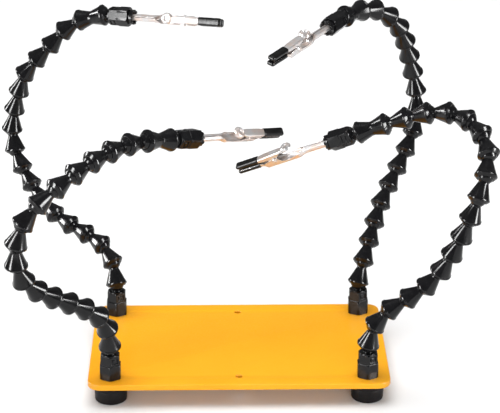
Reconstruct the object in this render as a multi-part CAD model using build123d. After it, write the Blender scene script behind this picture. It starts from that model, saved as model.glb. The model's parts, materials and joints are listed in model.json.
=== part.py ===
from build123d import *
import os
from math import asin, cos, degrees, radians, sin, sqrt

os.makedirs("parts", exist_ok=True)

# Helping hands clamp: a steel base plate on four rubber feet carries four arms of snap-together
# ball-and-socket links, each with a crocodile clip at its end.
# Millimetres, +Z up, the origin on the table below the middle of the plate, the front at -Y.

# ---- Base ----
PLATE_LENGTH = 200.0
PLATE_WIDTH = 130.0
PLATE_THICKNESS = 4.0
PLATE_CORNER = 9.0
PLATE_EDGE = 0.6
ARM_X = 85.0                 # arm positions from the middle of the plate
ARM_Y = 52.0
ACCESSORY_HOLE_RADIUS = 2.2  # two clearance holes for M4 on the plate's middle line
ACCESSORY_Y = 52.0

FOOT_HEIGHT = 12.0
FOOT_TOP_RADIUS = 11.2
FOOT_BOTTOM_RADIUS = 10.5
FOOT_ROUND = 1.4
FOOT_RECESS_RADIUS = 5.0
FOOT_RECESS_DEPTH = 7.0

SCREW_RADIUS = 2.0
SCREW_HEAD_RADIUS = 3.8
SCREW_HEAD_HEIGHT = 3.0
SCREW_SOCKET_WIDTH = 2.5     # across flats
SCREW_SOCKET_DEPTH = 1.8
SCREW_BITE = 8.5             # length of screw inside a fitting
SCREW_HOLE_RADIUS = 2.2
SCREW_FIT = 0.03

PLATE_TOP = FOOT_HEIGHT + PLATE_THICKNESS

# ---- Ball-and-socket hose ----
PITCH = 15.0                 # ball centre to ball centre
LINK_RADIUS = 7.5
RIM_FLAT = 0.35              # half height of the cylindrical band at a link's widest ring
BALL_RADIUS = 5.4
BALL_CUT = 3.7               # a ball's flat end, from its centre
NECK_RADIUS = 3.45
BORE_RADIUS = 2.2
SOCKET_CLEARANCE = 0.12
SOCKET_RADIUS = BALL_RADIUS + SOCKET_CLEARANCE
LIP_DEPTH = 2.15             # a socket's lip, below the ball centre
LIP_OUTER_RADIUS = 5.75
LINKS_PER_ARM = 17
LINK_GROUPS = (3, 3, 3, 3, 3, 2)

COUPLER_LENGTH = 19.0        # ball centre to ball centre
COUPLER_WAIST = 4.75
COUPLER_WAIST_LENGTH = 1.8

# ---- Hexagonal fittings, measured from the centre of their ball ----
FITTING_FACE = 5.0
COLLAR_RADIUS = 6.0
COLLAR_HEIGHT = 0.8
NARROW_FLATS = 12.4
NARROW_HEIGHT = 6.7
WIDE_FLATS = 13.6
WIDE_HEIGHT = 10.0
FITTING_LENGTH = FITTING_FACE + COLLAR_HEIGHT + NARROW_HEIGHT + WIDE_HEIGHT
WINDOW_WIDTH = 4.6
WINDOW_HEIGHT = 3.8
WINDOW_DEPTH = 0.7
TAB_WIDTH = 2.6
TAB_HEIGHT = 2.0
BASE_BALL_Z = PLATE_TOP + FITTING_LENGTH

HOLDER_COLLAR_RADIUS = 5.6   # clip holder: a slimmer fitting with a groove and a crown behind its hexagon
HOLDER_NARROW_FLATS = 11.4
HOLDER_WIDE_FLATS = 12.0
HOLDER_WIDE_HEIGHT = 8.1
HOLDER_LENGTH = FITTING_FACE + COLLAR_HEIGHT + NARROW_HEIGHT + HOLDER_WIDE_HEIGHT
GROOVE_RADIUS = 4.4
GROOVE_LENGTH = 0.9
CROWN_RADIUS = 5.2
CROWN_LENGTH = 2.7
CROWN_MOUTH_RADIUS = 3.7
CROWN_MOUTH_DEPTH = 1.8
CROWN_NOTCHES = 10
CROWN_NOTCH_WIDTH = 1.2
CROWN_NOTCH_DEPTH = 1.1
CROWN_END = HOLDER_LENGTH + GROOVE_LENGTH + CROWN_LENGTH

# ---- Crocodile clip, measured along its own X axis from the centre of the holder's ball ----
CLIP_START = CROWN_END
SHEET = 0.5
PIVOT_X = CLIP_START + 38.5
BARREL_RADIUS = 2.5
BARREL_SEAT_RADIUS = 2.55    # the bore in the clip holder that the barrel sits in
BARREL_START = CLIP_START - 7.0
BARREL_END = PIVOT_X - 21.0
LOWER_WIDTH = 6.6
UPPER_WIDTH = 5.4
NOSE_WIDTH = 4.8
PIVOT_Z = 1.5
RIVET_RADIUS = 1.0
RIVET_HEAD_RADIUS = 1.6
RIVET_HEAD_HEIGHT = 0.55
RIVET_RUN = 0.06             # the upper jaw's running clearance on the rivet
PAD_X = PIVOT_X - 11.0
PAD_Z = 6.6
PAD_RADIUS = 4.05
PAD_RING_RADIUS = 2.8        # the raised ring on top of the button
PAD_DISH_RADIUS = 2.3
PAD_HEIGHT = 2.2
PAD_FLOOR = 1.1
PAD_TILT = 5.0
SLEEVE_START = PIVOT_X + 11.5
NOSE_END = CLIP_START + 65.8
SLEEVE_END = CLIP_START + 67.0
SLEEVE_WALL = 0.5
SLEEVE_ROUND = 1.5
SLEEVE_TIP_ROUND = 0.9
SPRING_WIRE = 0.3            # wire radius
SPRING_COIL = 1.75           # coil radius at the wire's middle
SPRING_TURNS = 4
SPRING_PITCH = 0.62

# ---- Arms ----
# Each arm's route is a smooth curve through hand-picked points, from its fitting's ball to its clip's tip.
# clip_roll turns the clip about its own axis, away from standing upright.
ARMS = {
    "back_left": {
        "base": (-ARM_X, ARM_Y),
        "route": [(-94, 66, 61), (-134, 97, 78), (-161, 130, 117), (-151, 126, 168),
                  (-138, 122, 184), (-101, 114, 215)],
        "tip": (-12, 76, 221),
        "clip_roll": 68.0,
    },
    "front_left": {
        "base": (-ARM_X, -ARM_Y),
        "route": [(-92, -66, 67), (-133, -105, 106), (-136, -116, 143), (-114, -111, 170),
                  (-73, -76, 186), (-29, -39, 178)],
        "tip": (26, 4, 166),
        "clip_roll": 55.0,
    },
    "back_right": {
        "base": (ARM_X, ARM_Y),
        "route": [(90, 59, 56), (103, 87, 86), (128, 122, 129), (127, 128, 166),
                  (111, 104, 213), (81, 77, 228)],
        "tip": (21, -5, 217),
        "clip_roll": -14.0,
    },
    "front_right": {
        "base": (ARM_X, -ARM_Y),
        "route": [(94, -55, 61), (128, -63, 92), (151, -75, 150), (157, -53, 180),
                  (131, -24, 190), (69, -4, 166)],
        "tip": (0, 22, 133),
        "clip_roll": -27.0,
    },
}
CURVE_STEPS = 40             # samples along each span of a route


# ---- Routes ----
def span_point(a, b, c, d, t):
    """A point of the Catmull-Rom curve between b and c."""
    return (2 * b + (c - a) * t + (2 * a - 5 * b + 4 * c - d) * t**2
            + (3 * b - a - 3 * c + d) * t**3) * 0.5


def route_curve(arm):
    """An arm's route as closely spaced points. It leaves the fitting straight up."""
    start = Vector(*arm["base"], BASE_BALL_Z)
    through = [start] + [Vector(*p) for p in arm["route"]] + [Vector(*arm["tip"])]
    below = start - Vector(0, 0, (through[1] - start).length)
    beyond = through[-1] * 2 - through[-2]
    ends = [below] + through + [beyond]
    samples = [
        span_point(*ends[i:i + 4], step / CURVE_STEPS)
        for i in range(len(through) - 1)
        for step in range(CURVE_STEPS)
    ]
    return samples + [through[-1]]


def step_along(curve, centre, index, length):
    """The next point of the curve that is length away from centre, and the sample before it."""
    while index < len(curve) - 2 and (curve[index + 1] - centre).length < length:
        index += 1
    a, run = curve[index], curve[index + 1] - curve[index]
    offset = a - centre
    square, half, rest = run.dot(run), run.dot(offset), offset.dot(offset) - length**2
    return a + run * ((sqrt(half**2 - square * rest) - half) / square), index


def ball_centres(arm):
    """The centres of an arm's ball joints, from its fitting to its clip holder."""
    curve = route_curve(arm)
    centres, index = [curve[0]], 0
    for length in [PITCH] * LINKS_PER_ARM + [COUPLER_LENGTH]:
        point, index = step_along(curve, centres[-1], index, length)
        centres.append(point)
    return centres


def axis_plane(start, end):
    """A plane at start whose normal points at end."""
    return Plane(origin=start, z_dir=(end - start).normalized())


def clip_plane(arm):
    """The clip's frame: X along the clip towards its tip, Z the way the upper jaw opens."""
    centre = ball_centres(arm)[-1]
    along = (Vector(*arm["tip"]) - centre).normalized()
    up = (Vector(0, 0, 1) - along * along.Z).normalized()
    roll = radians(arm["clip_roll"])
    up = up * cos(roll) + along.cross(up) * sin(roll)
    return Plane(origin=centre, x_dir=along, z_dir=up)


# ---- Shared shapes ----
def disc(radius, bottom, top):
    """An upright cylinder between two heights."""
    return Pos(0, 0, bottom) * extrude(Circle(radius), top - bottom)


def hexagon(flats, bottom, top, edge=0.5):
    """An upright hexagonal prism with one corner towards -Y and its end edges broken."""
    outline = Rot(0, 0, 30) * RegularPolygon(flats / 2, 6, major_radius=False)
    corner = flats / sqrt(3)
    envelope = Polyline((0, bottom), (corner - edge, bottom), (corner, bottom + edge),
                        (corner, top - edge), (corner - edge, top), (0, top), close=True)
    return Pos(0, 0, bottom) * extrude(outline, top - bottom) & turned(envelope)


def sphere_arc(radius, centre, start, end):
    """An arc of a sphere's outline between two angles up from its equator, in (radius, height)."""
    def at(angle):
        return (radius * cos(radians(angle)), centre + radius * sin(radians(angle)))
    return ThreePointArc(at(start), at((start + end) / 2), at(end))


NECK_ANGLE = -degrees(asin(sqrt(BALL_RADIUS**2 - NECK_RADIUS**2) / BALL_RADIUS))
CUT_ANGLE = degrees(asin(BALL_CUT / BALL_RADIUS))
LIP_ANGLE = -degrees(asin(LIP_DEPTH / SOCKET_RADIUS))
BORE_ANGLE = degrees(asin(sqrt(SOCKET_RADIUS**2 - BORE_RADIUS**2) / SOCKET_RADIUS))
LIP_INNER_RADIUS = SOCKET_RADIUS * cos(radians(LIP_ANGLE))
CONE_END = PITCH - sqrt(BALL_RADIUS**2 - NECK_RADIUS**2) - 0.05


def turned(edges):
    """A solid turned about Z from its closed outline."""
    return revolve(Plane.XZ * make_face(edges), Axis.Z)


def ball_stem(length):
    """A fitting's ball at the origin, on a neck that runs down by length, with a bore through both."""
    ball = sphere_arc(BALL_RADIUS, 0, NECK_ANGLE, CUT_ANGLE)
    rest = Polyline(ball @ 1, (BORE_RADIUS, BALL_CUT), (BORE_RADIUS, -length),
                    (NECK_RADIUS, -length), ball @ 0)
    return turned([ball, rest])


# ---- Base ----
def corners():
    """The four arm positions on the plate."""
    return [arm["base"] for arm in ARMS.values()]


def base_plate():
    slab = extrude(RectangleRounded(PLATE_LENGTH, PLATE_WIDTH, PLATE_CORNER), PLATE_THICKNESS)
    flat_edges = slab.edges().group_by(Axis.Z)
    slab = fillet(flat_edges[0] + flat_edges[-1], PLATE_EDGE)
    for x, y in corners():
        slab -= Pos(x, y, 0) * disc(SCREW_HOLE_RADIUS, -1, PLATE_THICKNESS + 1)
    for y in (-ACCESSORY_Y, ACCESSORY_Y):
        slab -= Pos(0, y, 0) * disc(ACCESSORY_HOLE_RADIUS, -1, PLATE_THICKNESS + 1)
    return Pos(0, 0, FOOT_HEIGHT) * slab


def rubber_foot():
    body = turned(Polyline((0, 0), (FOOT_BOTTOM_RADIUS, 0), (FOOT_TOP_RADIUS, FOOT_HEIGHT),
                           (0, FOOT_HEIGHT), close=True))
    body = fillet(body.edges().group_by(Axis.Z)[0], FOOT_ROUND)
    body -= disc(FOOT_RECESS_RADIUS, -1, FOOT_RECESS_DEPTH)
    return body - disc(SCREW_HOLE_RADIUS, -1, FOOT_HEIGHT + 1)


def foot_screw():
    """A socket-head screw, up through the foot and the plate into the fitting."""
    head_bottom = FOOT_RECESS_DEPTH - SCREW_HEAD_HEIGHT
    head = disc(SCREW_HEAD_RADIUS, head_bottom, FOOT_RECESS_DEPTH)
    head = fillet(head.edges().group_by(Axis.Z)[0], 0.5)
    socket = extrude(RegularPolygon(SCREW_SOCKET_WIDTH / 2, 6, major_radius=False), SCREW_SOCKET_DEPTH)
    head -= Pos(0, 0, head_bottom) * socket
    return head + disc(SCREW_RADIUS, FOOT_RECESS_DEPTH, PLATE_TOP + SCREW_BITE)


def fitting_body(collar_radius, narrow_flats, wide_flats, length):
    """The hexagonal body below a fitting's ball: collar, narrow hexagon with windows, wide hexagon."""
    collar_top = -FITTING_FACE
    narrow_top = collar_top - COLLAR_HEIGHT
    wide_top = narrow_top - NARROW_HEIGHT
    body = disc(collar_radius, narrow_top, collar_top)
    body += hexagon(narrow_flats, wide_top, narrow_top) + hexagon(wide_flats, -length, wide_top)
    window = Box(2 * WINDOW_DEPTH, WINDOW_WIDTH, WINDOW_HEIGHT)
    window -= Box(2 * WINDOW_DEPTH, TAB_WIDTH, TAB_HEIGHT)
    for angle in (-60, 60, 180):
        body -= Rot(0, 0, angle) * Pos(narrow_flats / 2, 0, (narrow_top + wide_top) / 2) * window
    return body


def base_fitting():
    """A fitting with its ball at the origin, bored through, and threaded below for its foot screw."""
    body = fitting_body(COLLAR_RADIUS, NARROW_FLATS, WIDE_FLATS, FITTING_LENGTH)
    body -= disc(BORE_RADIUS, -FITTING_LENGTH + SCREW_BITE + 1, 0)
    body -= disc(SCREW_RADIUS + SCREW_FIT, -FITTING_LENGTH - 1, -FITTING_LENGTH + SCREW_BITE + 1)
    return body + ball_stem(FITTING_FACE)


# ---- Links ----
def link():
    """One hose link along +Z: a socket around the origin, and a ball one pitch further on."""
    outer = Polyline((LIP_INNER_RADIUS, -LIP_DEPTH), (LIP_OUTER_RADIUS, -LIP_DEPTH),
                     (LINK_RADIUS, -RIM_FLAT), (LINK_RADIUS, RIM_FLAT), (NECK_RADIUS, CONE_END),
                     (NECK_RADIUS, PITCH + BALL_RADIUS * sin(radians(NECK_ANGLE))))
    ball = sphere_arc(BALL_RADIUS, PITCH, NECK_ANGLE, CUT_ANGLE)
    socket = sphere_arc(SOCKET_RADIUS, 0, BORE_ANGLE, LIP_ANGLE)
    bore = Polyline(ball @ 1, (BORE_RADIUS, PITCH + BALL_CUT), socket @ 0)
    return turned([outer, ball, bore, socket])


def end_coupler():
    """A double socket along +Z that joins the last link's ball to the clip holder's ball."""
    middle = COUPLER_LENGTH / 2
    half = [(LIP_INNER_RADIUS, -LIP_DEPTH), (LIP_OUTER_RADIUS, -LIP_DEPTH), (LINK_RADIUS, -RIM_FLAT),
            (LINK_RADIUS, RIM_FLAT), (COUPLER_WAIST, middle - COUPLER_WAIST_LENGTH / 2)]
    outer = Polyline(*half, *[(r, COUPLER_LENGTH - z) for r, z in reversed(half)])
    far = sphere_arc(SOCKET_RADIUS, COUPLER_LENGTH, -LIP_ANGLE, -BORE_ANGLE)
    near = sphere_arc(SOCKET_RADIUS, 0, BORE_ANGLE, LIP_ANGLE)
    return turned([outer, far, Line(far @ 1, near @ 0), near])


def clip_holder():
    """The fitting at an arm's end, along +Z from its ball, with a crown that grips the clip's barrel."""
    crown_bottom = -CROWN_END
    body = fitting_body(HOLDER_COLLAR_RADIUS, HOLDER_NARROW_FLATS, HOLDER_WIDE_FLATS, HOLDER_LENGTH)
    body += disc(GROOVE_RADIUS, -HOLDER_LENGTH - GROOVE_LENGTH, -HOLDER_LENGTH)
    body += disc(CROWN_RADIUS, crown_bottom, -HOLDER_LENGTH - GROOVE_LENGTH)
    body -= disc(CROWN_MOUTH_RADIUS, crown_bottom - 1, crown_bottom + CROWN_MOUTH_DEPTH)
    for notch in range(CROWN_NOTCHES):
        tooth_gap = Box(2 * CROWN_RADIUS, CROWN_NOTCH_WIDTH, 2 * CROWN_NOTCH_DEPTH,
                        align=(Align.MIN, Align.CENTER, Align.CENTER))
        body -= Rot(0, 0, notch * 360 / CROWN_NOTCHES) * Pos(0, 0, crown_bottom) * tooth_gap
    body -= disc(BORE_RADIUS, crown_bottom - 1, 0)
    body -= disc(BARREL_SEAT_RADIUS, crown_bottom - 1, -BARREL_START)
    return Rot(180, 0, 0) * (body + ball_stem(FITTING_FACE))


# ---- Crocodile clip ----
def side_plate(points, width):
    """A side outline in the clip's XZ plane, as a slab centred on the clip."""
    return extrude(Plane.XZ * make_face(Polyline(*points, close=True)), width / 2, both=True)


def across(radius, x, z, width):
    """A cylinder along the clip's Y axis."""
    return Pos(x, 0, z) * Rot(90, 0, 0) * extrude(Circle(radius), width / 2, both=True)


def along(radius, start, end):
    """A cylinder along the clip's X axis."""
    return Pos(start, 0, 0) * Rot(0, 90, 0) * extrude(Circle(radius), end - start)


def nose(low, high, low_end, high_end, width, start=SLEEVE_START):
    """The tapering nose of a jaw, from where its sleeve starts."""
    points = [(start, low), (NOSE_END, low_end), (NOSE_END, high_end), (start, high)]
    return side_plate(points, width)


def lower_nose(start=SLEEVE_START):
    return nose(-1.1, 1.45, -0.6, 1.45, NOSE_WIDTH, start)


def upper_nose(start=SLEEVE_START):
    return nose(3.05, 5.5, 3.05, 5.0, NOSE_WIDTH, start)


def lower_jaw():
    """The fixed jaw: a folded channel with ears for the rivet, a nose, and a rolled barrel for a tail."""
    x = PIVOT_X
    outline = [(x - 23, -2.5), (x - 18, -2.8), (x + 6, -3.2), (x + 9, -1.1),
               (x + 8, 0.6), (x + 5, 2.2), (x + 1.6, 3.3), (x - 1.4, 3.3),
               (x - 5, -0.6), (x - 10, -1.0), (x - 18, 0.6), (x - 23, 2.2)]
    inside = [(x - 24, -1.6), (x - 18, -2.8 + SHEET), (x + 6, -3.2 + SHEET),
              (x + 9, -1.1 + SHEET), (x + 10, -1.1 + SHEET), (x + 10, 5), (x - 24, 5)]
    body = side_plate(outline, LOWER_WIDTH)
    body -= side_plate(inside, LOWER_WIDTH - 2 * SHEET)
    channel = nose(-1.1 + SHEET, 3, -0.6 + SHEET, 3, NOSE_WIDTH - 2 * SHEET, x + 5)
    body += lower_nose(x + 7.5) - channel
    body += along(BARREL_RADIUS, BARREL_START, BARREL_END)
    body -= along(BARREL_RADIUS - SHEET, BARREL_START - 1, BARREL_END + 1)
    return body - across(RIVET_RADIUS, PIVOT_X, PIVOT_Z, 2 * LOWER_WIDTH)


def thumb_pad():
    """The round button that a thumb presses, domed, with a dish in its top."""
    outline = Polyline((0, 0), (PAD_RADIUS, 0), (PAD_RADIUS, 0.5), (PAD_RING_RADIUS + 0.7, 1.7),
                       (PAD_RING_RADIUS, PAD_HEIGHT), (PAD_DISH_RADIUS, PAD_HEIGHT),
                       (PAD_DISH_RADIUS - 0.2, PAD_FLOOR), (0, PAD_FLOOR), close=True)
    return Pos(PAD_X, 0, PAD_Z) * Rot(0, PAD_TILT, 0) * turned(outline)


def upper_jaw():
    """The moving jaw: an upside-down channel on the rivet, with a thumb pad for a tail."""
    x = PIVOT_X
    outline = [(x - 10, 7.1), (x - 10, 6.2), (x - 3.5, 4.4), (x - 1.8, 0.6), (x + 1.8, 0.6),
               (x + 5, 3.05), (SLEEVE_START, 3.05), (SLEEVE_START, 5.5), (x + 2, 6.5)]
    inside = [(x - 11, 6.6), (x - 11, -1), (SLEEVE_START + 1, -1), (SLEEVE_START + 1, 5.5 - SHEET),
              (x + 2, 6.5 - SHEET)]
    ears = across(1.9, PIVOT_X, PIVOT_Z, UPPER_WIDTH)
    body = side_plate(outline, UPPER_WIDTH) + ears
    body -= side_plate(inside, UPPER_WIDTH - 2 * SHEET)
    channel = nose(2, 5.5 - SHEET, 2, 5.0 - SHEET, NOSE_WIDTH - 2 * SHEET, SLEEVE_START - 1)
    body += upper_nose(SLEEVE_START - 1.5) - channel
    body += thumb_pad()
    return body - across(RIVET_RADIUS + RIVET_RUN, PIVOT_X, PIVOT_Z, 2 * UPPER_WIDTH)


def pivot_rivet():
    """The rivet that both jaws share, with a domed head outside each ear."""
    half = LOWER_WIDTH / 2
    pin = across(RIVET_RADIUS, PIVOT_X, PIVOT_Z, LOWER_WIDTH)
    for side in (-1, 1):
        head = extrude(Circle(RIVET_HEAD_RADIUS), RIVET_HEAD_HEIGHT)
        head = fillet(head.edges().group_by(Axis.Z)[-1], 0.35)
        pin += Pos(PIVOT_X, side * half, PIVOT_Z) * Rot(-side * 90, 0, 0) * head
    return pin


def jaw_spring():
    """The torsion spring on the rivet: its coils as rings side by side, and a leg to each jaw."""
    coils = None
    for turn in range(SPRING_TURNS):
        y = (turn - (SPRING_TURNS - 1) / 2) * SPRING_PITCH
        ring = Pos(PIVOT_X, y, PIVOT_Z) * Rot(90, 0, 0) * Torus(SPRING_COIL, SPRING_WIRE + 0.02)
        coils = ring if coils is None else coils + ring
    end_y = (SPRING_TURNS - 1) / 2 * SPRING_PITCH
    legs = ((end_y, (PIVOT_X - 6.0, 4.4)), (-end_y, (PIVOT_X - 9.0, -0.3)))
    for y, (x, z) in legs:
        reach = Vector(x - PIVOT_X, 0, z - PIVOT_Z)
        side = 1 if z > PIVOT_Z else -1
        off = Vector(-reach.Z, 0, reach.X).normalized() * SPRING_COIL * -side
        start = Vector(PIVOT_X, y, PIVOT_Z) + off
        coils += Plane(origin=start, z_dir=reach.normalized()) * extrude(Circle(SPRING_WIRE), reach.length)
    return coils


def sleeve(core, low, high):
    """A soft sleeve over a jaw's nose, rounded at the tip."""
    width = NOSE_WIDTH + 2 * SLEEVE_WALL
    outline = [(SLEEVE_START, low), (SLEEVE_END, low + 0.3), (SLEEVE_END, high - 0.3), (SLEEVE_START, high)]
    shell = side_plate(outline, width)
    long_edges = [e for e in shell.edges() if abs(e.center().Y) > width / 2 - 0.01 and e.length > 10]
    shell = fillet(long_edges, SLEEVE_ROUND)
    shell = fillet(shell.faces().sort_by(Axis.X)[-1].edges(), SLEEVE_TIP_ROUND)
    return shell - core


def lower_sleeve():
    return sleeve(lower_nose(), -1.75, 2.1)


def upper_sleeve():
    return sleeve(upper_nose(), 2.4, 6.1)


# ---- Assembly ----
def save(name, *solids):
    """Write one node's separate solids to its STEP file."""
    loose = [solid for shape in solids for solid in shape.solids()]
    export_step(loose[0] if len(loose) == 1 else Compound(children=loose), f"parts/{name}.step")


def save_base():
    save("base_plate", base_plate())
    save("rubber_feet", *[Pos(x, y, 0) * rubber_foot() for x, y in corners()])
    save("foot_screws", *[Pos(x, y, 0) * foot_screw() for x, y in corners()])
    save("base_fittings", *[Pos(x, y, BASE_BALL_Z) * base_fitting() for x, y in corners()])


def save_arm(name, arm, pieces):
    """Write one arm's nodes: its links in groups, its coupler, and its clip."""
    centres = ball_centres(arm)
    places = [axis_plane(a, b) for a, b in zip(centres, centres[1:])]
    first = 0
    for number, count in enumerate(LINK_GROUPS, start=1):
        group = [place.location * pieces["link"] for place in places[first:first + count]]
        save(f"{name}_links_{number}", *group)
        first += count
    save(f"{name}_end_coupler", places[LINKS_PER_ARM].location * pieces["end_coupler"])
    clip = clip_plane(arm)
    holder = Plane(origin=clip.origin, x_dir=clip.z_dir, z_dir=clip.x_dir)
    save(f"{name}_clip_holder", holder.location * pieces["clip_holder"])
    for piece in ("lower_jaw", "upper_jaw", "pivot_rivet", "jaw_spring", "lower_sleeve", "upper_sleeve"):
        save(f"{name}_{piece}", clip.location * pieces[piece])


def main():
    save_base()
    pieces = {
        "link": link(),
        "end_coupler": end_coupler(),
        "clip_holder": clip_holder(),
        "lower_jaw": lower_jaw(),
        "upper_jaw": upper_jaw(),
        "pivot_rivet": pivot_rivet(),
        "jaw_spring": jaw_spring(),
        "lower_sleeve": lower_sleeve(),
        "upper_sleeve": upper_sleeve(),
    }
    for name, arm in ARMS.items():
        save_arm(name, arm, pieces)


if __name__ == "__main__":
    main()
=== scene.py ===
import json
from math import asin, atan2, cos, degrees, pi, radians, sin, sqrt, tan

import bmesh
import bpy
from mathutils import Matrix, Vector


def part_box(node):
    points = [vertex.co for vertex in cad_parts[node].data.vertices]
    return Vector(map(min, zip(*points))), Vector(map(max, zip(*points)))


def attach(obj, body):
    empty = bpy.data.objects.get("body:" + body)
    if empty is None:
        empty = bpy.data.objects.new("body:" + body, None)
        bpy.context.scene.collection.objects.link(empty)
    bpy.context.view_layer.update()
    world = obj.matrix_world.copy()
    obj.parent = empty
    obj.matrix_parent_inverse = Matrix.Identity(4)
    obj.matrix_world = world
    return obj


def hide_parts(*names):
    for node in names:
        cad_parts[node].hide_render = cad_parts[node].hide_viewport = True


# Looks for the helping hands clamp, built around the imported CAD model.
# Shapes are drawn in millimetres in each piece's own axes, then placed in the frame's metres.
MM = 0.001

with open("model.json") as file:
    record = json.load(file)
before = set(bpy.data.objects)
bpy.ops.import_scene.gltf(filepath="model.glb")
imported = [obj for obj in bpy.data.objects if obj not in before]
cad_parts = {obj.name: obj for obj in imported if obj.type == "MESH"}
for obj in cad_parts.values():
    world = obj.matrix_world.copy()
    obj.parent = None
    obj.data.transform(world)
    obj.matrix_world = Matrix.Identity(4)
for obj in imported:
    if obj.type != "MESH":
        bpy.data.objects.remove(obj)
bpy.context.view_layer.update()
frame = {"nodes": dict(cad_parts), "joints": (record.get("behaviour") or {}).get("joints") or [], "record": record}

ARMS = ("back_left", "front_left", "back_right", "front_right")
LINK_NODES = 6
JOINTS = {joint["name"]: joint for joint in frame["joints"]}

# ---- Sizes, in millimetres ----
PLATE_EDGE = 0.6
PLATE_CORNER = 9.0
PLATE_HOLE = 2.2               # its radius
ACCESSORY_Y = 52.0
LINK_RADIUS = 7.5
BALL_RADIUS = 5.4
SOCKET_RADIUS = 5.52
NECK_RADIUS = 3.45
BORE_RADIUS = 2.2
LIP_DEPTH = 2.15
PITCH = 15.0
COUPLER_LENGTH = 19.0
COUPLER_WAIST = 4.75
FITTING_FACE = 5.0
NARROW_TOP = -5.8
NARROW_BOTTOM = -12.5
HEX_CHAMFER = 0.5
FITTING_LENGTH = 22.5
NARROW_FLATS = 12.4
WIDE_FLATS = 13.6
HOLDER_NARROW_FLATS = 11.4
HOLDER_WIDE_FLATS = 12.0
HOLDER_LENGTH = 20.6
CLIP_START = 24.2
PIVOT_X = CLIP_START + 38.5
PIVOT_Z = 1.5
BARREL_RADIUS = 2.5
SEAT_RADIUS = 2.55
SEAT_TOP = -17.2
SLEEVE_START = PIVOT_X + 11.5
SLEEVE_END = CLIP_START + 67.0
SLEEVE_HALF = 2.9
SHEET = 0.5
SAME_POINT = 0.001

# ---- Angles, in degrees ----
SHARP_EDGE = 35.0
PLATE_SHARP_EDGE = 30.0
NEARLY_STRAIGHT = 89.5         # half of a corner's angle
NECK_ANGLE = -degrees(asin(sqrt(BALL_RADIUS**2 - NECK_RADIUS**2) / BALL_RADIUS))
BALL_TOP_ANGLE = 43.2

# ---- Steps in each curve ----
EASE_STEPS = 3
BEND_STEPS = 5
PLATE_CORNER_STEPS = 12
HOLE_POINTS = 40
FOOT_SEGMENTS = 64
LINK_SEGMENTS = 56
RIVET_SEGMENTS = 32
PAD_SEGMENTS = 48


# ---- Mesh building ----
class Shape:
    """Points and faces in a piece's own axes, in millimetres."""

    def __init__(self):
        self.points = []
        self.faces = []

    def add(self, points, faces):
        base = len(self.points)
        self.points += [Vector(p) for p in points]
        self.faces += [tuple(base + i for i in face) for face in faces]
        return self

    def join(self, other, matrix=None):
        moved = [matrix @ p for p in other.points] if matrix else other.points
        return self.add(moved, other.faces)


def loft(rings, closed=False, caps=True):
    """A skin through rings of points. If closed, the last ring joins the first; if not, caps can close it."""
    shape = Shape()
    count = len(rings[0])
    points = [p for ring in rings for p in ring]
    faces = []
    steps = len(rings) if closed else len(rings) - 1
    for i in range(steps):
        a, b = i * count, (i + 1) % len(rings) * count
        for j in range(count):
            k = (j + 1) % count
            faces.append((a + j, a + k, b + k, b + j))
    if caps and not closed:
        faces.append(tuple(reversed(range(count))))
        last = (len(rings) - 1) * count
        faces.append(tuple(last + j for j in range(count)))
    return shape.add(points, faces)


def arc(centre, radius, start, end, steps):
    """Points on an arc in the (radius, height) plane, angles in degrees up from level."""
    angles = [radians(start + (end - start) * i / steps) for i in range(steps + 1)]
    return [(radius * cos(a), centre + radius * sin(a)) for a in angles]


def eased(corners, closed=True):
    """A polyline whose corners are rounded. Each corner is (x, y, radius) or (x, y)."""
    out = []
    count = len(corners)
    for i, corner in enumerate(corners):
        here = Vector(corner[:2])
        radius = corner[2] if len(corner) > 2 else 0.0
        if not radius or (not closed and i in (0, count - 1)):
            out.append(tuple(here))
            continue
        before = (Vector(corners[i - 1][:2]) - here).normalized()
        after = (Vector(corners[(i + 1) % count][:2]) - here).normalized()
        half = before.angle(after) / 2
        if half > radians(NEARLY_STRAIGHT):
            out.append(tuple(here))
            continue
        reach = radius / tan(half)
        a, b = here + before * reach, here + after * reach
        middle = here + (before + after).normalized() * (radius / sin(half))
        for step in range(EASE_STEPS + 1):
            chord = a.lerp(b, step / EASE_STEPS) - middle
            out.append(tuple(middle + chord.normalized() * radius))
    return out


def lathe(profile, segments):
    """A turned shell from a closed profile of (radius, height), about Z."""
    rings = []
    for step in range(segments):
        a = 2 * pi * step / segments
        rings.append([(r * cos(a), r * sin(a), z) for r, z in profile])
    return loft(rings, closed=True)


def turned_solid(profile, segments):
    """A turned solid from an open profile of (radius, height) that starts and ends on the axis."""
    rings = []
    for r, z in profile[1:-1]:
        rings.append([(r * cos(2 * pi * s / segments), r * sin(2 * pi * s / segments), z)
                      for s in range(segments)])
    shape = loft(rings, caps=False)
    tips = [(0, 0, profile[0][1]), (0, 0, profile[-1][1])]
    last = (len(rings) - 1) * segments
    base = len(shape.points)
    shape.points += [Vector(t) for t in tips]
    for s in range(segments):
        n = (s + 1) % segments
        shape.faces.append((base, n, s))
        shape.faces.append((base + 1, last + s, last + n))
    return shape


def tube(path, radius, sides):
    """A round wire along a path of vectors, with flat ends."""
    rings = []
    up = Vector((0, 0, 1))
    for i, p in enumerate(path):
        ahead = path[min(i + 1, len(path) - 1)] - path[max(i - 1, 0)]
        ahead.normalize()
        across = up - ahead * up.dot(ahead)
        if across.length < 0.1:
            across = Vector((1, 0, 0)) - ahead * ahead.x
        across.normalize()
        up = across
        other = ahead.cross(across)
        rings.append([p + (across * cos(2 * pi * s / sides) + other * sin(2 * pi * s / sides)) * radius
                      for s in range(sides)])
    return loft(rings)


def new_object(name, data):
    """An object for some data, in the scene."""
    thing = bpy.data.objects.new(name, data)
    bpy.context.scene.collection.objects.link(thing)
    return thing


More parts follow.
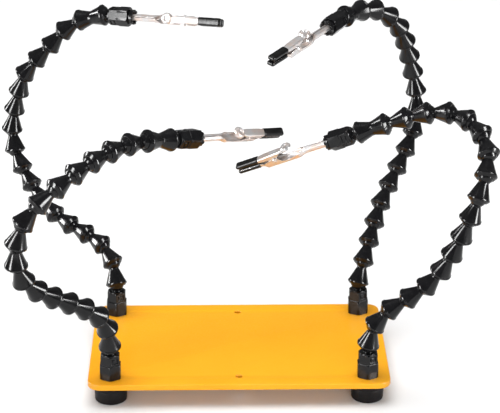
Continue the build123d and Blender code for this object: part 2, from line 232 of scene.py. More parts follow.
def make_piece(name, shape, place, body, slot, replaces, bevel=0.0):
    """A finished piece: a shape placed in the frame, on a body, for some CAD nodes. bevel is in mm."""
    mesh = bpy.data.meshes.new(name)
    mesh.from_pydata([place @ (p * MM) for p in shape.points], [], shape.faces)
    local = mesh.attributes.new("local", "FLOAT_VECTOR", "POINT")
    local.data.foreach_set("vector", [c for p in shape.points for c in p])
    work = bmesh.new()
    work.from_mesh(mesh)
    bmesh.ops.recalc_face_normals(work, faces=work.faces)
    work.to_mesh(mesh)
    work.free()
    mesh.shade_smooth()
    mesh.set_sharp_from_angle(angle=radians(SHARP_EDGE))
    mesh.materials.append(MATERIALS[slot])
    piece = new_object(name, mesh)
    if bevel:
        edge = piece.modifiers.new("edges", "BEVEL")
        edge.width = bevel * MM
        edge.segments = 2
        edge.limit_method = "ANGLE"
        edge.angle_limit = radians(SHARP_EDGE)
    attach(piece, body)
    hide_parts(*replaces)


def axes_matrix(origin, x, y, z):
    """A placing matrix from an origin and three axes."""
    return Matrix.Translation(origin) @ Matrix((x, y, z)).transposed().to_4x4()


def frame_at(origin, z_axis):
    """A placing matrix with its Z along a direction, and its X near the front or else near +X."""
    z = Vector(z_axis).normalized()
    hint = Vector((0, -1, 0)) if abs(z.y) < 0.9 else Vector((1, 0, 0))
    x = (hint - z * hint.dot(z)).normalized()
    return axes_matrix(origin, x, z.cross(x), z)


# ---- Materials ----
def shader(name):
    """A new material with its node tree and its Principled shader."""
    material = bpy.data.materials.new(name)
    material.use_nodes = True
    tree = material.node_tree
    return material, tree, tree.nodes["Principled BSDF"]


def add(tree, kind, **values):
    """A new node. Each value goes to its input of that name, or else to its property."""
    node = tree.nodes.new(kind)
    for key, value in values.items():
        if key in node.inputs:
            node.inputs[key].default_value = value
        else:
            setattr(node, key, value)
    return node


def noise(tree, where, scale, detail, roughness=0.55):
    node = add(tree, "ShaderNodeTexNoise", Scale=scale, Detail=detail, Roughness=roughness)
    tree.links.new(where, node.inputs["Vector"])
    return node.outputs["Fac"]


def remap(tree, value, low, high, from_low=0.3, from_high=0.7):
    """A value spread over a new range. Most noise lies between 0.3 and 0.7."""
    node = add(tree, "ShaderNodeMapRange")
    node.inputs["From Min"].default_value = from_low
    node.inputs["From Max"].default_value = from_high
    node.inputs["To Min"].default_value = low
    node.inputs["To Max"].default_value = high
    tree.links.new(value, node.inputs["Value"])
    return node.outputs["Result"]


def blend_colour(tree, factor, first, second):
    """A mix of two colours by a factor from 0 to 1."""
    node = add(tree, "ShaderNodeMix", data_type="RGBA")
    colours = {"A": first, "B": second}
    for socket in node.inputs:
        if socket.type == "RGBA":
            socket.default_value = (*colours[socket.name], 1)
    tree.links.new(factor, node.inputs[0])
    return next(socket for socket in node.outputs if socket.type == "RGBA")


def bump(tree, principled, height, distance, strength):
    node = add(tree, "ShaderNodeBump", Strength=strength, Distance=distance)
    tree.links.new(height, node.inputs["Height"])
    tree.links.new(node.outputs["Normal"], principled.inputs["Normal"])


def object_coordinates(tree):
    return add(tree, "ShaderNodeTexCoord").outputs["Object"]


def local_coordinates(tree):
    return add(tree, "ShaderNodeAttribute", attribute_name="local").outputs["Vector"]


def powder_coat():
    """Powder coat: a slow drift in its colour and a fine orange-peel texture."""
    material, tree, principled = shader("plate_coat")
    where = object_coordinates(tree)
    drift = noise(tree, where, scale=14.0, detail=3.0)
    colour = blend_colour(tree, remap(tree, drift, 0.0, 1.0), (0.76, 0.312, 0.003), (0.79, 0.350, 0.006))
    tree.links.new(colour, principled.inputs["Base Color"])
    peel = noise(tree, where, scale=700.0, detail=2.0)
    tree.links.new(remap(tree, peel, 0.30, 0.42), principled.inputs["Roughness"])
    bump(tree, principled, peel, distance=0.00004, strength=0.35)
    principled.inputs["Specular IOR Level"].default_value = 0.3
    return material


def black_plastic(name, colour, rough, grain, depth, shine):
    """Moulded black plastic or rubber: a faint flow pattern in its gloss and a fine bump.

    rough is the range of its roughness, grain the bump's scale, depth the bump's height in metres, and
    shine its specular level.
    """
    material, tree, principled = shader(name)
    where = object_coordinates(tree)
    flow = noise(tree, where, scale=90.0, detail=3.0)
    tree.links.new(remap(tree, flow, *rough), principled.inputs["Roughness"])
    paler = tuple(c * 1.6 + 0.002 for c in colour)
    mottle = noise(tree, where, scale=260.0, detail=5.0)
    shade = blend_colour(tree, remap(tree, mottle, 0.0, 1.0), colour, paler)
    tree.links.new(shade, principled.inputs["Base Color"])
    bump(tree, principled, noise(tree, where, scale=grain, detail=3.0), distance=depth, strength=0.5)
    principled.inputs["Specular IOR Level"].default_value = shine
    return material


def plated_steel(name, base, warm, rough, metal=1.0):
    """Plated steel: drawn streaks along the piece and a warm cast in patches. rough is as for the plastic."""
    material, tree, principled = shader(name)
    where = local_coordinates(tree)
    stretched = add(tree, "ShaderNodeMapping")
    stretched.inputs["Scale"].default_value = (0.06, 0.9, 0.9)
    tree.links.new(where, stretched.inputs["Vector"])
    lines = noise(tree, stretched.outputs["Vector"], scale=3.0, detail=6.0, roughness=0.7)
    patch = noise(tree, object_coordinates(tree), scale=180.0, detail=2.0)
    colour = blend_colour(tree, remap(tree, patch, 0.0, 1.0, from_low=0.42, from_high=0.66), base, warm)
    tree.links.new(colour, principled.inputs["Base Color"])
    principled.inputs["Metallic"].default_value = metal
    tree.links.new(remap(tree, lines, *rough), principled.inputs["Roughness"])
    bump(tree, principled, lines, distance=0.00001, strength=0.4)
    return material


MATERIALS = {
    "plate_coat": powder_coat(),
    "foot_rubber": black_plastic("foot_rubber", (0.004, 0.003, 0.003), rough=(0.42, 0.62),
                                 grain=1400.0, depth=0.00006, shine=0.12),
    "black_acetal": black_plastic("black_acetal", (0.003, 0.003, 0.0035), rough=(0.12, 0.22),
                                  grain=500.0, depth=0.00001, shine=0.25),
    "sleeve_pvc": black_plastic("sleeve_pvc", (0.003, 0.003, 0.003), rough=(0.20, 0.30),
                                grain=900.0, depth=0.00003, shine=0.25),
    "clip_steel": plated_steel("clip_steel", (0.60, 0.59, 0.59), (0.64, 0.53, 0.47), rough=(0.12, 0.28),
                               metal=0.66),
    "zinc_steel": plated_steel("zinc_steel", (0.62, 0.63, 0.64), (0.60, 0.58, 0.50), rough=(0.20, 0.34)),
    "spring_steel": plated_steel("spring_steel", (0.55, 0.55, 0.56), (0.50, 0.47, 0.44), rough=(0.18, 0.30)),
}
SLOT_OF = {sub["node"]: sub["material_slot"] for sub in frame["record"]["subparts"]}
for node, thing in frame["nodes"].items():
    thing.data.materials.clear()
    thing.data.materials.append(MATERIALS[SLOT_OF[node]])


# ---- Where things are ----
def loose_parts(node):
    """The middle of each separate solid in a CAD node's mesh, weighted by area."""
    work = bmesh.new()
    work.from_mesh(frame["nodes"][node].data)
    bmesh.ops.remove_doubles(work, verts=work.verts, dist=SAME_POINT * MM)
    middles = []
    waiting = set(work.faces)
    while waiting:
        reach, area, moment = [waiting.pop()], 0.0, Vector()
        while reach:
            face = reach.pop()
            area += face.calc_area()
            moment += face.calc_center_median() * face.calc_area()
            for edge in face.edges:
                fresh = [f for f in edge.link_faces if f in waiting]
                waiting.difference_update(fresh)
                reach += fresh
        middles.append(moment / area)
    work.free()
    return middles


def link_line(arm):
    """Each link's socket centre and direction, and the CAD node it is in, which is also its body's name."""
    places = []
    for number in range(1, LINK_NODES + 1):
        node = f"{arm}_links_{number}"
        here = Vector(JOINTS[f"{arm}_bend_{number}"]["pos_m"])
        middles = loose_parts(node)
        while middles:
            nearest = min(middles, key=lambda m: (m - here).length)
            middles.remove(nearest)
            along = (nearest - here).normalized()
            places.append((here, along, node))
            here = here + along * PITCH * MM
    return places


def clip_axes(arm):
    """The clip's placing matrix: X along the clip, Y across it, Z the way the upper jaw opens."""
    turn = JOINTS[f"{arm}_wrist_turn"]
    x = Vector(turn["axis"]).normalized()
    y = -Vector(JOINTS[f"{arm}_jaw"]["axis"]).normalized()
    return axes_matrix(turn["pos_m"], x, y, x.cross(y))


# ---- Base ----
def circle(x, y, radius):
    turns = [2 * pi * i / HOLE_POINTS for i in range(HOLE_POINTS)]
    return [(x + radius * cos(a), y + radius * sin(a)) for a in turns]


def rounded_rectangle(low, high, radius):
    corners = ((high.x - radius, high.y - radius, 0), (low.x + radius, high.y - radius, 90),
               (low.x + radius, low.y + radius, 180), (high.x - radius, low.y + radius, 270))
    points = []
    for x, y, start in corners:
        for step in range(PLATE_CORNER_STEPS + 1):
            a = radians(start + 90 * step / PLATE_CORNER_STEPS)
            points.append((x + radius * cos(a), y + radius * sin(a)))
    return points


def plate():
    """The base plate from its outline and holes, with rounded edges all round."""
    low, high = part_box("base_plate")
    edge = PLATE_EDGE * MM
    data = bpy.data.curves.new("plate_outline", "CURVE")
    data.dimensions = "2D"
    data.fill_mode = "BOTH"
    data.extrude = (high.z - low.z) / 2 - edge
    data.bevel_depth = edge
    data.bevel_resolution = 4
    data.offset = -edge
    holes = [circle(0, y * MM, PLATE_HOLE * MM) for y in (-ACCESSORY_Y, ACCESSORY_Y)]
    holes += [circle(x, y, PLATE_HOLE * MM) for x, y in corner_points()]
    for loop in [rounded_rectangle(low, high, PLATE_CORNER * MM)] + holes:
        spline = data.splines.new("POLY")
        spline.points.add(len(loop) - 1)
        spline.points.foreach_set("co", [c for x, y in loop for c in (x, y, 0, 1)])
        spline.use_cyclic_u = True
    outline = new_object("plate_outline", data)
    outline.location.z = (low.z + high.z) / 2
    bpy.context.view_layer.update()
    mesh = bpy.data.meshes.new_from_object(outline.evaluated_get(bpy.context.evaluated_depsgraph_get()))
    mesh.transform(outline.matrix_world)
    bpy.data.objects.remove(outline)
    work = bmesh.new()
    work.from_mesh(mesh)
    bmesh.ops.remove_doubles(work, verts=work.verts, dist=SAME_POINT * MM)
    bmesh.ops.recalc_face_normals(work, faces=work.faces)
    work.to_mesh(mesh)
    work.free()
    mesh.shade_smooth()
    mesh.set_sharp_from_angle(angle=radians(PLATE_SHARP_EDGE))
    mesh.materials.clear()
    mesh.materials.append(MATERIALS["plate_coat"])
    piece = new_object("plate", mesh)
    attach(piece, "base")
    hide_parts("base_plate")


def corner_points():
    """The four arm positions on the plate, in metres."""
    return [Vector(JOINTS[f"{arm}_bend_1"]["pos_m"]).xy for arm in ARMS]


def foot():
    """A moulded rubber foot with a soft lower edge, a mould line and a recess for the screw head."""
    return lathe(eased([
        (5.0, 0.0, 0.5), (10.5, 0.0, 1.4), (10.95, 8.2, 0.2), (10.72, 8.45, 0.15), (10.75, 8.75, 0.15),
        (11.02, 9.0, 0.2), (11.2, 12.0, 0.3), (2.2, 12.0), (2.2, 7.0), (5.0, 7.0)]), FOOT_SEGMENTS)


def polar_ring(angles, flats, envelope, height):
    """A ring at one height: a hexagon, flats wide, cut by a circle. With no flats it is the circle."""
    ring = []
    for side in range(6):
        for a in angles:
            radius = min(flats / 2 / cos(radians(a)), envelope) if flats else envelope
            turn = radians(side * 60 + a)
            ring.append((radius * cos(turn), radius * sin(turn), height))
    return ring


def foot_screw():
    """A socket-head screw, head down, with a fine knurl round its head."""
    angles = range(-30, 30, 5)
    uncut, groove = 9, 0.965
    socket = ((2.5, uncut, 5.8), (2.5, uncut, 4.15), (2.8, uncut, 4.0))
    chamfer = ((0, 3.3, 4.0), (0, 3.65, 4.15))
    shank = ((0, 3.65, 7.0), (0, 2.0, 7.0), (0, 2.0, 24.1), (0, 1.6, 24.5))
    rings = [polar_ring(angles, *spec) for spec in socket + chamfer]
    for height in (4.5, 6.8):
        head = polar_ring(angles, 0, 3.8, height)
        knurl = (1.0, groove) * (len(head) // 2)
        rings.append([(x * k, y * k, z) for (x, y, z), k in zip(head, knurl)])
    rings += [polar_ring(angles, *spec) for spec in shank]
    return loft(rings)


WINDOW_SIDES = (1, 3, 5)       # the hexagon's sides that have a window, where side 0 faces +X
WINDOW_HALF = 2.3
WINDOW_TAB = 1.3
WINDOW_SINK = 0.7
WINDOW_LEVELS = (-11.05, -10.15, -8.15, -7.25)
WINDOW_CELLS = range(2, 10)    # counted along a side, between the angles of fitting_angles
TAB_CELLS = range(4, 8)
TAB_LEVEL = 1


def fitting_angles(narrow_flats):
    """Where a ring's points lie on one side of the hexagon, in degrees from the side's middle."""
    window = degrees(atan2(WINDOW_HALF, narrow_flats / 2))
    tab = degrees(atan2(WINDOW_TAB, narrow_flats / 2))
    return (-30, -25, -window, -16, -tab, -6, 0, 6, tab, 16, window, 25)


def fitting(collar, narrow_flats, wide_flats, length, end_rings):
    """A hexagonal fitting with its ball at the origin, hanging down. end_rings close its lower end."""
    angles = fitting_angles(narrow_flats)
    wide, narrow = wide_flats / sqrt(3), narrow_flats / sqrt(3)
    specs = list(end_rings)
    specs += [(wide_flats, wide - HEX_CHAMFER, -length), (wide_flats, wide, -length + HEX_CHAMFER),
              (wide_flats, wide, NARROW_BOTTOM - HEX_CHAMFER),
              (wide_flats, wide - HEX_CHAMFER, NARROW_BOTTOM), (narrow_flats, narrow, NARROW_BOTTOM)]
    first = len(specs)
    specs += [(narrow_flats, narrow, z) for z in WINDOW_LEVELS]
    specs += [(narrow_flats, narrow, NARROW_TOP - HEX_CHAMFER),
              (narrow_flats, narrow - HEX_CHAMFER, NARROW_TOP),
              (0, collar, NARROW_TOP), (0, collar, -FITTING_FACE - 0.15), (0, collar - 0.15, -FITTING_FACE),
              (0, NECK_RADIUS + 0.25, -FITTING_FACE), (0, NECK_RADIUS, -FITTING_FACE + 0.25)]
    specs += [(0, r, z) for r, z in ball_profile(0, steps=14)]
    rings = [polar_ring(angles, *spec) for spec in specs]
    shape = loft(rings, closed=True)
    per_side = len(angles)
    sunk = set()
    for level in range(len(WINDOW_LEVELS) - 1):
        for side in WINDOW_SIDES:
            for cell in WINDOW_CELLS:
                if level != TAB_LEVEL or cell not in TAB_CELLS:
                    sunk.add((first + level, side * per_side + cell))
    return sink(shape, rings, sunk, per_side)


def sink(shape, rings, sunk, per_side):
    """Press some cells of a loft's skin inwards, with walls round them."""
    count = len(rings[0])
    shape.faces = [face for i, face in enumerate(shape.faces) if (i // count, i % count) not in sunk]
    pressed = {}

    def inner(level, index, side):
        key = (level, index, side)
        if key not in pressed:
            turn = radians(side * 60)
            point = Vector(rings[level][index]) - Vector((cos(turn), sin(turn), 0)) * WINDOW_SINK
            pressed[key] = len(shape.points)
            shape.points.append(point)
        return pressed[key]

    for level, index in sorted(sunk):
        side = index // per_side
        after = index + 1
        shape.faces.append((inner(level, index, side), inner(level, after, side),
                            inner(level + 1, after, side), inner(level + 1, index, side)))
        edges = (((level, index), (level, after), (level - 1, index)),
                 ((level + 1, after), (level + 1, index), (level + 1, index)),
                 ((level + 1, index), (level, index), (level, index - 1)),
                 ((level, after), (level + 1, after), (level, index + 1)))
        for start, end, beyond in edges:
            if beyond not in sunk:
                outer_start = start[0] * count + start[1]
                outer_end = end[0] * count + end[1]
                shape.faces.append((outer_start, outer_end, inner(*end, side), inner(*start, side)))
    return shape


def base_fitting():
    """An arm's first fitting, with a threaded hole for the foot screw."""
    thread, mouth = 2.03, 2.3
    end = [(0, thread, -14.0), (0, thread, -FITTING_LENGTH + 0.3), (0, mouth, -FITTING_LENGTH)]
    return fitting(6.0, NARROW_FLATS, WIDE_FLATS, FITTING_LENGTH, end)


def clip_holder():
    """The arm's last fitting, with a groove and a notched crown whose fingers spread a little."""
    groove, mouth, crown, end = 4.4, 3.7, 5.2, -CLIP_START
    crown_top = -HOLDER_LENGTH - 0.9
    seat = [(0, BORE_RADIUS, SEAT_TOP), (0, SEAT_RADIUS, SEAT_TOP), (0, SEAT_RADIUS, crown_top - 0.3),
            (0, groove, crown_top - 0.3), (0, groove, -HOLDER_LENGTH)]
    shape = fitting(5.6, HOLDER_NARROW_FLATS, HOLDER_WIDE_FLATS, HOLDER_LENGTH, seat)
    notches = 10
    lift = (0.8, 0.8, 0.2, 0.0, 0.0, 0.0, 0.2, 0.8)     # how far each part of a notch is cut back
    # Each point is (radius, height, 1 if it follows the notch).
    profile = ((SEAT_RADIUS, crown_top, 0), (crown - 0.15, crown_top, 0), (crown, crown_top - 0.15, 0),
               (crown, end + 1.1, 0), (crown + 0.06, end + 0.15, 1), (crown - 0.1, end, 1),
               (mouth + 0.3, end, 1), (mouth + 0.15, end + 0.15, 1), (mouth, end + 1.2, 0),
               (mouth, end + 1.8, 0), (SEAT_RADIUS, end + 1.8, 0))
    rings = []
    count = notches * len(lift)
    for step in range(count):
        a = 2 * pi * step / count
        up = lift[step % len(lift)]
        rings.append([(r * cos(a), r * sin(a), z + up * follows) for r, z, follows in profile])
    return shape.join(loft(rings, closed=True))


# ---- Links ----
def ball_profile(centre, steps):
    """The outside of a ball, from its neck to its bore."""
    bore = [(BORE_RADIUS + 0.2, centre + 3.7), (BORE_RADIUS, centre + 3.5)]
    return arc(centre, BALL_RADIUS, NECK_ANGLE, BALL_TOP_ANGLE, steps) + bore


def socket_profile(centre, flip=1):
    """The inside of a socket, from its bore to its lip. flip is -1 for one that opens upwards."""
    bore = degrees(asin(sqrt(SOCKET_RADIUS**2 - BORE_RADIUS**2) / SOCKET_RADIUS))
    lip = -degrees(asin(LIP_DEPTH / SOCKET_RADIUS))
    return arc(centre, SOCKET_RADIUS, bore * flip, lip * flip, 12)


# A socket's open edge and the raised rim round it, as (radius, height, corner radius).
RIM = [(5.14, -LIP_DEPTH, 0.12), (5.75, -LIP_DEPTH, 0.15), (LINK_RADIUS, -0.4, 0.12),
       (LINK_RADIUS, 0.25, 0.1), (LINK_RADIUS - 0.1, 0.75, 0.05), (LINK_RADIUS - 0.36, 0.8, 0.05)]


def link():
    """A hose link: an open socket with a raised rim, a flared skirt, a neck, and a ball one pitch on."""
    outer = eased(RIM + [(NECK_RADIUS + 0.12, 10.1, 0.3), (NECK_RADIUS, 11.2)], closed=False)
    return lathe(outer[:-1] + ball_profile(PITCH, steps=12) + socket_profile(0)[:-1], LINK_SEGMENTS)


def end_coupler():
    """A double socket with a waist, flaring to an open rim at each end."""
    half = RIM + [(COUPLER_WAIST, COUPLER_LENGTH / 2 - 0.9, 0.8)]
    other = [(r, COUPLER_LENGTH - z, e) for r, z, e in reversed(half)]
    outer = eased(half + other, closed=False)
    far = socket_profile(COUPLER_LENGTH, -1)
    return lathe(outer + list(reversed(far))[1:] + socket_profile(0)[:-1], LINK_SEGMENTS)


# ---- Crocodile clip ----
def line_at(points, x):
    """The height of a line of points at x."""
    for (x0, z0), (x1, z1) in zip(points, points[1:]):
        if x0 <= x <= x1:
            return z0 + (z1 - z0) * (x - x0) / (x1 - x0)
    return points[0][1] if x < points[0][0] else points[-1][1]


def smooth(t):
    """A soft step from 0 to 1."""
    t = min(1.0, max(0.0, t))
    return t * t * (3 - 2 * t)


def trough(half, bottom, top, bend):
    """One face of a folded sheet's section: down a wall, round the bend, along the floor and up again."""
    left = [(-half, top), (-half, (top + bottom + bend) / 2)]
    for step in range(BEND_STEPS + 1):
        a = radians(90 * step / BEND_STEPS)
        left.append((-half + bend - bend * cos(a), bottom + bend - bend * sin(a)))
    right = [(-y, z) for y, z in reversed(left)]
    return left + [(0.0, bottom)] + right


def rolled(outline, radius, gap):
    """The same points spread round a tube that is open at its top. gap is half of the opening, in degrees."""
    runs = [0.0]
    for (y0, z0), (y1, z1) in zip(outline, outline[1:]):
        runs.append(runs[-1] + sqrt((y1 - y0)**2 + (z1 - z0)**2))
    spread = []
    for run in runs:
        a = radians(90 + gap + (360 - 2 * gap) * run / runs[-1])
        spread.append((radius * cos(a), radius * sin(a)))
    return spread


def between(first, second, t):
    """The points of an outline, moved part of the way to another outline."""
    return [(a + (c - a) * t, b + (d - b) * t) for (a, b), (c, d) in zip(first, second)]


def sheet_section(x, half, bottom, top, roll=0.0, flip=1):
    """A closed ring round a section of folded sheet at x. roll turns the trough into a tube."""
    bend = min(1.0, (top - bottom) * 0.8)
    thin = min(SHEET, bend * 0.6)
    outer = trough(half, bottom, top, bend)
    inner = trough(half - thin, bottom + thin, top, bend - thin)
    if roll:
        outer = between(outer, rolled(outer, BARREL_RADIUS, gap=7), roll)
        inner = between(inner, rolled(inner, BARREL_RADIUS - SHEET, gap=9), roll)
    return [(x, y, z * flip) for y, z in outer + list(reversed(inner))]


def stations(*stretches):
    """Places along a line, evenly spaced in each stretch of (start, end, spacing)."""
    places = []
    for start, end, spacing in stretches:
        count = max(1, round((end - start) / spacing))
        places += [start + (end - start) * i / count for i in range(count)]
    return places + [stretches[-1][1]]


# Heights and half-widths of the folded sheets along the clip, as (distance from the rivet, value).
LOWER_TOP = ((-24, 2.2), (-18, 0.7), (-10, -0.9), (-5, -0.5), (-2.3, 2.6), (2, 2.6), (5.5, 2.0),
             (8.5, 0.4), (9.7, 1.2), (11.5, 1.45), (28, 1.45))
LOWER_BOTTOM = ((-24, -2.5), (-18, -2.8), (6, -3.2), (8.5, -1.8), (11.5, -1.1), (28, -0.6))
LOWER_HALF = ((-24, 2.6), (-19, 3.3), (6.5, 3.3), (9.5, 2.4), (28, 2.4))
UPPER_TOP = ((-11.5, 7.1), (2, 6.5), (11.5, 5.5), (28, 5.0))
UPPER_BOTTOM = ((-11.5, 6.4), (-6, 5.7), (-3, 3.8), (-1.6, 1.5), (1.6, 1.5), (5, 3.05), (28, 3.05))
UPPER_HALF = ((-11.5, 1.9), (-7.5, 2.1), (-4.5, 2.7), (7.5, 2.7), (11, 2.4), (28, 2.4))
BARREL_REACH = -45.5
BARREL_OPENS = (-24, -17)
NOSE_START = 11.5
NOSE_REACH = 27.3
EAR_RADIUS = 1.9


def ear(x, radius):
    """How far a round ear reaches from the rivet's height at x, or None beyond it."""
    return sqrt(radius**2 - x**2) if abs(x) < radius else None


def lower_jaw():
    """The fixed jaw, one folded sheet: a rolled barrel that opens into a trough with ears, then a nose."""
    start, end = BARREL_OPENS
    rings = []
    for x in stations((BARREL_REACH, start, 1.0), (start, end, 0.5), (end, -5, 1.0), (-5, NOSE_START, 0.25),
                      (NOSE_START, NOSE_REACH, 0.9)):
        roll = 1 - smooth((x - start) / (end - start))
        top = line_at(LOWER_TOP, x)
        reach = ear(x, EAR_RADIUS + 0.15)
        if reach:
            top = max(top, PIVOT_Z + reach)
        rings.append(sheet_section(PIVOT_X + x, line_at(LOWER_HALF, x), line_at(LOWER_BOTTOM, x), top, roll))
    return loft(rings)


def thumb_pad():
    """The round pad that opens the clip, with a dished middle inside a raised ring."""
    return turned_solid(eased([
        (0, 1.12), (1.95, 1.12, 0.3), (2.3, 2.2, 0.2), (2.75, 2.2, 0.2), (3.5, 1.65, 0.6), (4.05, 0.55, 0.2),
        (4.05, 0.0, 0.15), (0, 0.0)], closed=False), PAD_SEGMENTS)


def upper_jaw():
    """The moving jaw: an upside-down trough whose ears sit inside the lower jaw's, and its thumb pad."""
    rings = []
    for x in stations((-11.5, -4, 0.5), (-4, 6, 0.25), (6, NOSE_REACH, 0.9)):
        low, high = line_at(UPPER_BOTTOM, x), line_at(UPPER_TOP, x)
        reach = ear(x, EAR_RADIUS)
        if reach:
            low = min(low, PIVOT_Z - reach)
        rings.append(sheet_section(PIVOT_X + x, line_at(UPPER_HALF, x), -high, -low, flip=-1))
    tilted = Matrix.Translation((PIVOT_X - 11.0, 0, 6.6)) @ Matrix.Rotation(radians(5), 4, "Y")
    return loft(rings).join(thumb_pad(), tilted)


def pivot_rivet():
    """The rivet: a plain shank across the clip with a rolled head at each end, each with a centre dimple."""
    head = [(0, 3.62), (0.35, 3.62, 0.1), (0.6, 3.85, 0.15), (1.15, 3.8, 0.3), (1.6, 3.45, 0.15),
            (1.6, 3.3, 0.05), (1.0, 3.3)]
    other = [(r, -z, *e) for r, z, *e in reversed(head)]
    across = Matrix.Translation((PIVOT_X, 0, PIVOT_Z)) @ Matrix.Rotation(radians(-90), 4, "X")
    return Shape().join(turned_solid(eased(head + other, closed=False), RIVET_SEGMENTS), across)


def jaw_spring():
    """The torsion spring: close coils on the rivet and a straight leg to each jaw."""
    coil, wire, turns, rise = 1.75, 0.3, 4, 0.62
    lead_length, tail_length = 6.6, 9.2
    first, second = Vector((-6.0, 2.9)).normalized(), Vector((-9.0, -1.8)).normalized()
    start = atan2(first.x, -first.y)
    sweep = (atan2(-second.x, second.y) - start) % (2 * pi) + 2 * pi * (turns - 1)
    count = 96
    path = []
    for i in range(count + 1):
        a = start + sweep * i / count
        y = (i / count - 0.5) * rise * (turns - 1)
        path.append(Vector((PIVOT_X + coil * cos(a), y, PIVOT_Z + coil * sin(a))))
    lead = path[0] + Vector((first.x, 0, first.y)) * lead_length
    tail = path[-1] + Vector((second.x, 0, second.y)) * tail_length
    return tube([lead] + path + [tail], wire, sides=8)


def sleeve_ring(x, low, high, half, inset):
    """A rounded-rectangle ring round a sleeve, shrunk by an inset."""
    low, high, half = low + inset, high - inset, half - inset
    least_flat = 0.02
    radius = min(2.1 - 0.7 * inset, (high - low) / 2 - least_flat, half - least_flat)
    points = []
    for y, z, start in ((half - radius, high - radius, 0), (-half + radius, high - radius, 90),
                        (-half + radius, low + radius, 180), (half - radius, low + radius, 270)):
        for step in range(7):
            a = radians(start + 15 * step)
            points.append((x, y + radius * cos(a), z + radius * sin(a)))
    return points


def sleeve(low, high):
    """A soft sleeve: a rolled lip at its start, a little slack along it, and a round closed tip."""
    span = SLEEVE_END - SLEEVE_START
    taper, tip, tip_inset, slack = 0.3, 2.0, 1.45, 0.02
    # Each ring is (distance along the sleeve, inset).
    rings = [(0.6, 0.52), (0.06, 0.5), (0.0, 0.36), (0.06, 0.14), (0.3, slack)]
    rings += [(d, slack + slack * sin(d * 1.9)) for d in stations((1.2, span - 3.0, 0.8))]
    for step in range(10):
        a = radians(9 * step)
        rings.append((span - tip + tip * sin(a), tip_inset * (1 - cos(a))))
    rings.append((span, tip_inset + 0.02))
    outline = []
    for d, inset in rings:
        drawn_in = taper * d / span
        outline.append(sleeve_ring(SLEEVE_START + d, low + drawn_in, high - drawn_in, SLEEVE_HALF, inset))
    return loft(outline)


# ---- Assembly ----
def build_base():
    plate()
    shapes = {"foot": foot(), "screw": foot_screw(), "fitting": base_fitting()}
    for arm, point in zip(ARMS, corner_points()):
        on_floor = Matrix.Translation((point.x, point.y, 0))
        ball = Matrix.Translation(JOINTS[f"{arm}_bend_1"]["pos_m"])
        make_piece(f"{arm}_foot", shapes["foot"], on_floor, "base", "foot_rubber", ("rubber_feet",))
        make_piece(f"{arm}_foot_screw", shapes["screw"], on_floor, "base", "zinc_steel", ("foot_screws",),
                   bevel=0.05)
        make_piece(f"{arm}_base_fitting", shapes["fitting"], ball, "base", "black_acetal", ("base_fittings",),
                   bevel=0.12)


def build_arm(arm, shapes):
    for number, (here, along, node) in enumerate(link_line(arm), start=1):
        place = frame_at(here, along)
        make_piece(f"{arm}_link_{number:02d}", shapes["link"], place, node, "black_acetal", (node,))
    bend, turn = (Vector(JOINTS[f"{arm}_{name}"]["pos_m"]) for name in ("wrist_bend", "wrist_turn"))
    make_piece(f"{arm}_coupler", shapes["end_coupler"], frame_at(bend, turn - bend), f"{arm}_coupler",
               "black_acetal", (f"{arm}_end_coupler",))
    clip = clip_axes(arm)
    holder = clip @ Matrix.Rotation(radians(-90), 4, "Y")
    body = f"{arm}_clip"
    make_piece(f"{arm}_holder", shapes["clip_holder"], holder, body, "black_acetal", (f"{arm}_clip_holder",),
               bevel=0.12)
    for name, slot, rides, bevel in (("lower_jaw", "clip_steel", body, 0.08),
                                     ("upper_jaw", "clip_steel", f"{arm}_upper_jaw", 0.08),
                                     ("pivot_rivet", "clip_steel", body, 0.0),
                                     ("jaw_spring", "spring_steel", body, 0.0),
                                     ("lower_sleeve", "sleeve_pvc", body, 0.0),
                                     ("upper_sleeve", "sleeve_pvc", f"{arm}_upper_jaw", 0.0)):
        make_piece(f"{arm}_{name}_made", shapes[name], clip, rides, slot, (f"{arm}_{name}",), bevel)


build_base()
arm_shapes = {
    "link": link(),
    "end_coupler": end_coupler(),
    "clip_holder": clip_holder(),
    "lower_jaw": lower_jaw(),
    "upper_jaw": upper_jaw(),
    "pivot_rivet": pivot_rivet(),
    "jaw_spring": jaw_spring(),
    "lower_sleeve": sleeve(-1.75, 2.1),
    "upper_sleeve": sleeve(2.4, 6.1),
}
for arm in ARMS:
    build_arm(arm, arm_shapes)

# ---- Floor ----
FLOOR_HALF = 6.0
floor_mesh = bpy.data.meshes.new("floor")
floor_mesh.from_pydata([(x * FLOOR_HALF, y * FLOOR_HALF, 0) for x, y in ((-1, -1), (1, -1), (1, 1), (-1, 1))],
                       [], [(0, 1, 2, 3)])
floor = new_object("floor", floor_mesh)
paper, paper_tree, paper_shader = shader("paper")
paper_shader.inputs["Roughness"].default_value = 0.9
paper_grain = noise(paper_tree, object_coordinates(paper_tree), scale=30.0, detail=3.0)
paper_colour = blend_colour(paper_tree, paper_grain, (0.71, 0.71, 0.71), (0.73, 0.73, 0.73))
paper_tree.links.new(paper_colour, paper_shader.inputs["Base Color"])
floor_mesh.materials.append(paper)


# ---- Light ----
MIDDLE = Vector((0, 0, 0.12))


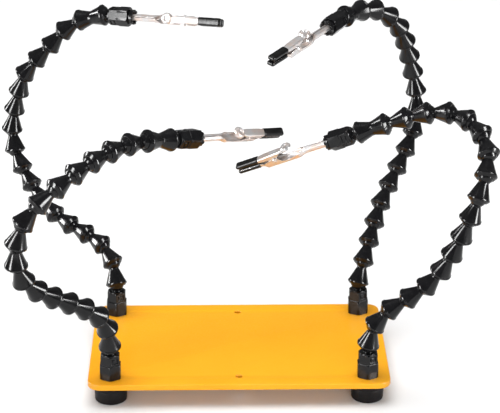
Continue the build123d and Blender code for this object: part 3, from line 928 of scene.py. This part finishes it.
def softbox(name, place, size, power, fill=True, gloss=True):
    """An area light aimed at the middle. Without fill it is a card that shows in glossy surfaces only."""
    data = bpy.data.lights.new(name, "AREA")
    data.shape = "RECTANGLE"
    data.size, data.size_y = size
    data.energy = power
    lamp = new_object(name, data)
    lamp.location = place
    lamp.rotation_mode = "QUATERNION"
    lamp.rotation_quaternion = (MIDDLE - Vector(place)).to_track_quat("-Z", "Y")
    lamp.visible_diffuse = fill
    lamp.visible_glossy = gloss


softbox("overhead_fill", (-0.2, 0.25, 2.2), size=(2.6, 2.2), power=92.0, gloss=False)
softbox("front_fill", (0.1, -1.8, 0.5), size=(2.0, 0.8), power=30.0, gloss=False)
softbox("overhead_card", (-0.2, 0.25, 2.2), size=(1.2, 0.12), power=13.0, fill=False)
softbox("left_card", (-0.75, -0.55, 0.34), size=(0.22, 0.66), power=19.0, fill=False)
softbox("right_card", (0.80, -0.42, 0.34), size=(0.22, 0.66), power=19.0, fill=False)
softbox("back_left_card", (-1.15, 0.45, 0.40), size=(0.14, 0.66), power=14.0, fill=False)

world = bpy.data.worlds.new("studio")
world.use_nodes = True
background = world.node_tree.nodes["Background"]
background.inputs["Color"].default_value = (1.0, 1.0, 1.0, 1.0)
background.inputs["Strength"].default_value = 0.18
bpy.context.scene.world = world
bpy.context.scene.view_settings.view_transform = "Standard"

# ---- Camera ----
CAMERA_AZIMUTH = radians(-0.93)
CAMERA_ELEVATION = radians(21.26)
CAMERA_DISTANCE = 1.439
CAMERA_TARGET = Vector((0.008, 0.0, 0.1161))
lens = bpy.data.cameras.new("camera")
lens.sensor_width = 36.0
lens.lens = 155.2
lens.clip_start = 0.05
lens.clip_end = 50.0
camera = new_object("camera", lens)
level = cos(CAMERA_ELEVATION)
back = Vector((sin(CAMERA_AZIMUTH) * level, -cos(CAMERA_AZIMUTH) * level, sin(CAMERA_ELEVATION)))
camera.location = CAMERA_TARGET + back * CAMERA_DISTANCE
camera.rotation_mode = "QUATERNION"
camera.rotation_quaternion = (-back).to_track_quat("-Z", "Y")
bpy.context.scene.camera = camera
